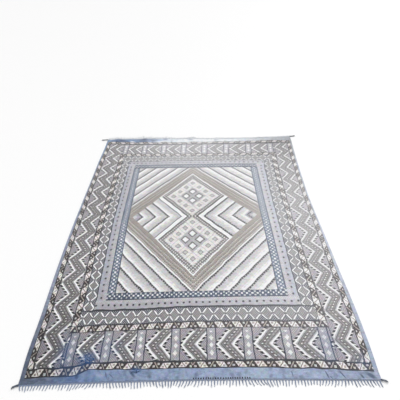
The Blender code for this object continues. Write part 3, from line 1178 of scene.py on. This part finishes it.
def diamond_panel(cloth, p, q, panel):
    """Sixteen small diamonds in a panel, with four stronger ones in its middle."""
    inside = panel & ((p & q) > PANEL_START) & ((p | q) < PANEL_START + 4 * PANEL_CELL)
    cloth.lay("smoke grey", panel)
    cloth.lay("natural white", panel & (p % 4 < 2) & (q % 4 < 2))
    cloth.lay("natural white", inside)
    cloth.lay("clay white", inside * 0.2)
    cell_p, cell_q = (abs((way - PANEL_START) % PANEL_CELL - PANEL_CELL / 2) for way in (p, q))
    ring = cell_p | cell_q
    central = inside & ((abs(p - PANEL_MIDDLE) | abs(q - PANEL_MIDDLE)) < PANEL_CELL)
    for yarn, low, high, strength in PANEL_RINGS:
        cloth.lay(yarn, (inside & ring.spans(low, high)) * strength)
    cloth.lay("lilac grey", central * 0.8)
    for yarn, reach in CENTRAL_RINGS:
        cloth.lay(yarn, central & (ring < reach))


def field():
    cloth = Cloth("medallion_field_wool", "medallion taupe", wander=0.55)
    c = abs(cloth.column)
    r = abs(cloth.row - WAIST_ROW)
    outward = c + r
    sideways = c - r
    inward = outward + (c & INNER_BEND) * INNER_LEAN

    cloth.lay("smoke grey", ((outward % 4 < 2) & (sideways % 4 < 2)) * 0.5)
    for line in BAND_LINES:
        cloth.lay("oatmeal", outward.spans(line, line + 1.5) & (sideways % 3 < 1.5))
        cloth.lay("taupe", (outward.spans(line - 1.6, line) & (sideways % 4 < 2)) * 0.8)

    i = (outward - STRIPE_START) % STRIPE_REPEAT
    slanting_stripes(cloth, i, sideways, STRIPE_REPEAT, outward > STRIPE_START)
    within = inward < INNER_LINE
    arrows = within & (sideways > WHITE_BAND[1])
    i = (sideways - ARROW_START + (cloth.column < 0) * ARROW_SHIFT) % ARROW_REPEAT
    slanting_stripes(cloth, i, outward, ARROW_REPEAT, arrows)
    cloth.lay("charcoal", arrows & (sideways < WHITE_BAND[1] + 1.1))
    tips = arrows & (sideways > TIP_START) & (i > 2.4)
    cloth.lay("lilac grey", tips)
    cloth.lay("natural white", (tips & (sideways > TIP_DOTS) & cloth.check) * 0.8)

    panel = within & (sideways < WHITE_BAND[0])
    diamond_panel(cloth, r + cloth.column, r - cloth.column, panel)
    cloth.lay("dark taupe", within & sideways.spans(WHITE_BAND[0] - 1.6, WHITE_BAND[0]))
    cloth.lay("white cotton", within & sideways.spans(*WHITE_BAND))
    cloth.lay("white cotton", outward.spans(HEXAGON - 0.6, STRIPE_START))
    inner_line = inward.spans(INNER_LINE - 1.1, INNER_LINE + 1.1)
    cloth.lay("white cotton", inner_line & (sideways < WHITE_BAND[1]))
    return cloth.finish(checks=0.14, tone=0.88)


WOVEN["field"] = field()
for name in frame_names:
    rug.data.materials.append(WOVEN[name])
print("the field has", len(WOVEN["field"].node_tree.nodes), "nodes")

# %% [markdown]
# The fringes
#
# Past the last weft the warps run on. A heading of two twined cords holds them, and they hang out
# of it in thin locks of three yarns, with a longer lock splayed out of each corner. A particle
# system would scatter them freely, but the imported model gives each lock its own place, length and
# lean, so the same sums lay them here. Each yarn is spun from two strands. A tube with an oval
# section that turns as it goes along shows that twist without modelling the strands apart.

# %% Spin and lay the fringes
SEAM_GAP = 0.0003
STRIP_WIDTH = 0.008
LOCKS = 117
LOCK_ROOT = 0.0075
LOCK_TIP = 0.0035
LEAN = 0.010
SHORTEST = 0.72
LONGEST = 1.20
LONG_LOCKS = (
    # across, added length
    (-0.865, 0.026),
    (-0.585, 0.044),
    (-0.520, 0.034),
    (-0.340, 0.022),
    (-0.030, 0.034),
    (0.235, 0.010),
)
LONG_LOCK_REACH = 0.022
CRUMPLED_FRINGE = 0.060
CORNER = 1.50
NEAR_LOCK_LENGTH = 0.034
YARNS_A_LOCK = 3
YARN_RADIUS = 0.0013
YARN_SIDES = 6
YARN_STEP = 0.0026
YARN_CURL = 0.0022
TWIST_PITCH = 0.007
OVAL = 0.22
TIP_THINNING = 0.35
HEADING_CORDS = (0.0020, 0.0058)
HEADING_HEIGHT = 0.0022
HEADING_RADIUS = 0.0019
HEADING_PITCH = 0.013
HEADING_STEPS = 620
CORNER_YARNS = 18
CORNER_YARN_RADIUS = 0.0018
CORNER_LOCK_RADIUS = 0.0070
CORNER_HEIGHT = 0.0055
CORNER_STEPS = 18
CORNER_SOIL = 0.62


def spin(bm, layer, path, radius, shade, pitch=TWIST_PITCH, darkening=0.0):
    """Adds one twisted yarn along a path of points, thinning to its tip."""
    rings = []
    gone = 0.0
    ends = len(path) - 1
    for k, point in enumerate(path):
        ahead = (path[min(k + 1, ends)] - path[max(k - 1, 0)]).normalized()
        if k:
            gone += (point - path[k - 1]).length
        side = ahead.cross(Vector((0, 0, 1))).normalized()
        up = side.cross(ahead)
        ring = []
        for corner in range(YARN_SIDES):
            angle = math.tau * corner / YARN_SIDES
            oval = 1 + OVAL * math.cos(2 * angle - math.tau * gone / pitch)
            reach = radius * oval * (1 - TIP_THINNING * (k / ends) ** 3)
            vertex = bm.verts.new(point + side * math.cos(angle) * reach + up * math.sin(angle) * reach)
            vertex[layer] = (shade, k / ends, darkening)
            ring.append(vertex)
        rings.append(ring)
    for low, high in zip(rings, rings[1:]):
        for corner in range(YARN_SIDES):
            beside = (corner + 1) % YARN_SIDES
            bm.faces.new((low[corner], low[beside], high[beside], high[corner])).smooth = True
    bm.faces.new(rings[0][::-1])
    bm.faces.new(rings[-1])


def lay_fringe(end, seed):
    """The locks, the heading cords and the two corner locks of one end."""
    chance = random.Random(seed)
    loose = random.Random(seed + 100)
    outward = 1 if end == "far" else -1
    end_index, length_index = (3, 4) if end == "far" else (1, 2)
    reach = FAR_REACH if end == "far" else NEAR_REACH
    first = float(through(SIDE_EDGES, 1, outward * CORNER))
    last = float(through(SIDE_EDGES, 2, outward * CORNER))

    def placed(across, out, up):
        """A point so far out from the woven end, and so far up from the floor."""
        woven_end = float(through(ENDS, end_index, min(max(across, first), last)))
        falling = max(0.0, 1 - max(0.0, out - STRIP_WIDTH) / CRUMPLED_FRINGE) ** 2
        lift = float(soft_ovals(CRUMPLES, across, woven_end)) * falling
        return Vector((across, woven_end + outward * (SEAM_GAP + out), up + lift)) + SHIFT

    bm = bmesh.new()
    layer = bm.verts.layers.float_vector.new("yarn")
    for lock in range(LOCKS):
        centre = first + (last - first) * (lock + 0.5) / LOCKS
        length = float(through(ENDS, length_index, centre)) - STRIP_WIDTH
        length *= chance.uniform(SHORTEST, LONGEST)
        if end == "far":
            for place, added in LONG_LOCKS:
                length += added * math.exp(-(((centre - place) / LONG_LOCK_REACH) ** 2))
        room = reach - outward * float(through(ENDS, end_index, centre)) - STRIP_WIDTH - SEAM_GAP
        length = min(length, room)
        lean = LEAN * (math.sin(9.0 * centre + seed) + 0.6 * math.sin(23.0 * centre))
        steps = max(6, round(length / YARN_STEP))
        for k in range(YARNS_A_LOCK):
            place = (k - (YARNS_A_LOCK - 1) / 2) / YARNS_A_LOCK
            curl = loose.uniform(-YARN_CURL, YARN_CURL)
            turn = loose.uniform(0, math.tau)
            lift = loose.uniform(0.2, 1.0) * YARN_RADIUS
            full = length * (1 if k == 1 else loose.uniform(0.80, 0.98))
            path = []
            for step in range(steps + 1):
                t = step / steps
                width = LOCK_ROOT + (LOCK_TIP - LOCK_ROOT) * t
                across = centre + lean * t * t + place * width + curl * math.sin(turn + 5.0 * t) * t
                up = YARN_RADIUS * 1.15 + lift * (1 - t) * (1 if k == 1 else 0.4)
                path.append(placed(across, STRIP_WIDTH * 0.5 + (full + STRIP_WIDTH * 0.5) * t, up))
            spin(bm, layer, path, YARN_RADIUS, loose.random())

    for out in HEADING_CORDS:
        stations = (first + (last - first) * k / HEADING_STEPS for k in range(HEADING_STEPS + 1))
        path = [placed(across, out, HEADING_HEIGHT) for across in stations]
        spin(bm, layer, path, HEADING_RADIUS, loose.random(), pitch=HEADING_PITCH)

    for root, tip, drop in corner_locks(end, first, last):
        for k in range(CORNER_YARNS):
            angle = loose.uniform(0, math.tau)
            away = CORNER_LOCK_RADIUS * math.sqrt(loose.random())
            full = loose.uniform(0.78, 1.0)
            path = []
            for step in range(CORNER_STEPS + 1):
                t = step / CORNER_STEPS * full
                spread = 1 - 0.45 * math.sin(math.pi * min(t * 1.2, 1))
                across = root + (tip - root) * t
                out = STRIP_WIDTH / 2 + outward * drop * t * t + away * math.cos(angle) * spread
                path.append(placed(across, out, CORNER_HEIGHT + away * math.sin(angle) * spread * 0.6))
            spin(bm, layer, path, CORNER_YARN_RADIUS, loose.random(), darkening=CORNER_SOIL)
    return piece("fringe_yarns_" + end, bm)


def corner_locks(end, first, last):
    """The root and the tip of an end's two corner locks, and how far along each tip lies."""
    if end == "far":
        return ((first, -LEFT_REACH, -0.006), (last, RIGHT_REACH, 0.010))
    return ((first, first - NEAR_LOCK_LENGTH, -0.018), (last, last + NEAR_LOCK_LENGTH, -0.014))


def fringe_wool():
    """The fringe's wool: the dye of the plain ends, paler towards the loose tips."""
    material, tree = new_wool("twisted_blue_grey_wool")
    shade, tip, darkening = parts(kept(tree, "yarn"))
    place = parts(node(tree, "ShaderNodeTexCoord").outputs["Object"])
    colour = mix(tree, place[1] > 0, linear("7E8FB0"), linear("A3ACB8"))
    colour = mix(tree, tip * 0.35 + shade * 0.25, colour, linear("C9CCD0"))
    colour = vector_math(tree, "MULTIPLY", colour, (0.72 + shade * 0.34) * (1 - darkening))
    return finish_wool(material, {"Base Color": colour, "Sheen Weight": 0.3})


twisted_wool = fringe_wool()
for end, seed in (("near", 11), ("far", 5)):
    fringe = lay_fringe(end, seed)
    fringe.data.materials.append(twisted_wool)
    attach(fringe, "root")
    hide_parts("fringe_" + end)
    print(fringe.name, "has", len(fringe.data.polygons), "faces")

# %% [markdown]
# Loose ends of blue yarn
#
# A blue weft was once tied in by the near left corner, and its loose ends still lie there in two
# tangles, one on a chevron and one by the plain end. Curves with a bevel would need converting, so
# the same spinning lays them as thin arcs on the cloth. Each starts near a tangle's middle, turns
# as it goes, and lies on the ones before it.

# %% Loose blue yarns
TANGLES = (
    # across, along, reach, yarns
    (-0.632, -1.338, 0.046, 16),
    (-0.338, -1.432, 0.028, 9),
)
LOOSE_YARN_RADIUS = 0.0011
LOOSE_YARN_STEPS = 22
LOOSE_YARN_ARCH = 0.0015


def lay_tangles():
    chance = random.Random(7)
    bm = bmesh.new()
    layer = bm.verts.layers.float_vector.new("yarn")
    for middle, place, reach, yarns in TANGLES:
        for k in range(yarns):
            heading = chance.uniform(0, math.tau)
            bend = chance.uniform(-3.0, 3.0)
            length = reach * chance.uniform(0.6, 1.3)
            x = middle + chance.uniform(-0.35, 0.35) * reach
            y = place + chance.uniform(-0.25, 0.25) * reach
            lift = THICKNESS + LOOSE_YARN_RADIUS * (1.0 + 1.6 * k / yarns)
            path = []
            for step in range(LOOSE_YARN_STEPS + 1):
                t = step / LOOSE_YARN_STEPS
                ground = float(ripple_height(np.array([x]), np.array([y]))[0])
                arch = LOOSE_YARN_ARCH * math.sin(math.pi * t)
                path.append(Vector((x, y, ground + lift + arch)) + SHIFT)
                x += math.cos(heading + bend * t) * length / LOOSE_YARN_STEPS
                y += math.sin(heading + bend * t) * length / LOOSE_YARN_STEPS
            spin(bm, layer, path, LOOSE_YARN_RADIUS, chance.random())
    return piece("loose_blue_yarns", bm)


def loose_wool():
    """The loose yarn's wool, from navy to pale blue, yarn by yarn."""
    material, tree = new_wool("loose_blue_wool")
    shade = parts(kept(tree, "yarn"))[0]
    colour = mix(tree, shade * 1.4 & 1, linear(YARNS["navy"]), linear(YARNS["indigo"]))
    colour = mix(tree, (shade > 0.72) * 0.75, colour, linear(YARNS["pale blue"]))
    return finish_wool(material, {"Base Color": colour})


tangles = lay_tangles()
tangles.data.materials.append(loose_wool())
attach(tangles, "root")
print(tangles.name, "has", len(tangles.data.polygons), "faces")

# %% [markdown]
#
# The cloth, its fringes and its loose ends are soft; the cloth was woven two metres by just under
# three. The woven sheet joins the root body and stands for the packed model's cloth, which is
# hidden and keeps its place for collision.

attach(rug, "root")
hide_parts("rug_cloth")

# %% [markdown]
# Floor, light and camera
#
# The rug lies on a pale floor in a bright room. A single small lamp would throw hard shadows that a
# room with white walls doesn't have, so the world gives most of the light and a broad sun from the
# far right gives the ripples and yarns their shape. The camera stands at eye height past the near
# end and looks down a third of the way to upright, close to a normal lens.

# %% Floor, light and camera
FLOOR_DROP = 0.0005
FOCAL = 40.5
SENSOR = 36.0
CAMERA_PLACE = (0.0220845, -3.0120869, 2.2074135)
CAMERA_YAW = 0.245
CAMERA_DOWN = 33.96
CAMERA_ROLL = -1.319
SUN_SPREAD = 50
SUN_TURN = (-35, 30, 0)

floor_bmesh = bmesh.new()
bmesh.ops.create_grid(floor_bmesh, x_segments=1, y_segments=1, size=20)
bmesh.ops.translate(floor_bmesh, vec=(0, 0, -FLOOR_DROP), verts=floor_bmesh.verts[:])
floor = piece("floor", floor_bmesh)
floor_material, floor_tree = new_wool("pale_painted_floor")
fill(floor_tree.nodes["Principled BSDF"], {"Base Color": linear("FCFCFC")})
floor.data.materials.append(floor_material)

camera_data = bpy.data.cameras.new("camera")
camera_data.lens = FOCAL
camera_data.sensor_width = SENSOR
camera = add("camera", camera_data)
camera.matrix_world = (
    Matrix.Translation(CAMERA_PLACE)
    @ Matrix.Rotation(math.radians(CAMERA_YAW), 4, "Z")
    @ Matrix.Rotation(math.radians(90 - CAMERA_DOWN), 4, "X")
    @ Matrix.Rotation(math.radians(CAMERA_ROLL), 4, "Z")
)
bpy.context.scene.camera = camera

world = bpy.data.worlds.new("studio")
world.use_nodes = True
fill(world.node_tree.nodes["Background"], {"Color": linear("FFFFFF"), "Strength": 0.75})
bpy.context.scene.world = world
sun_data = bpy.data.lights.new("soft_window", "SUN")
sun_data.energy = 1.2
sun_data.angle = math.radians(SUN_SPREAD)
sun = add("soft_window", sun_data)
sun.rotation_euler = [math.radians(turn) for turn in SUN_TURN]
bpy.context.scene.view_settings.view_transform = "Standard"
print("camera at", CAMERA_PLACE, "looking", CAMERA_DOWN, "degrees down")
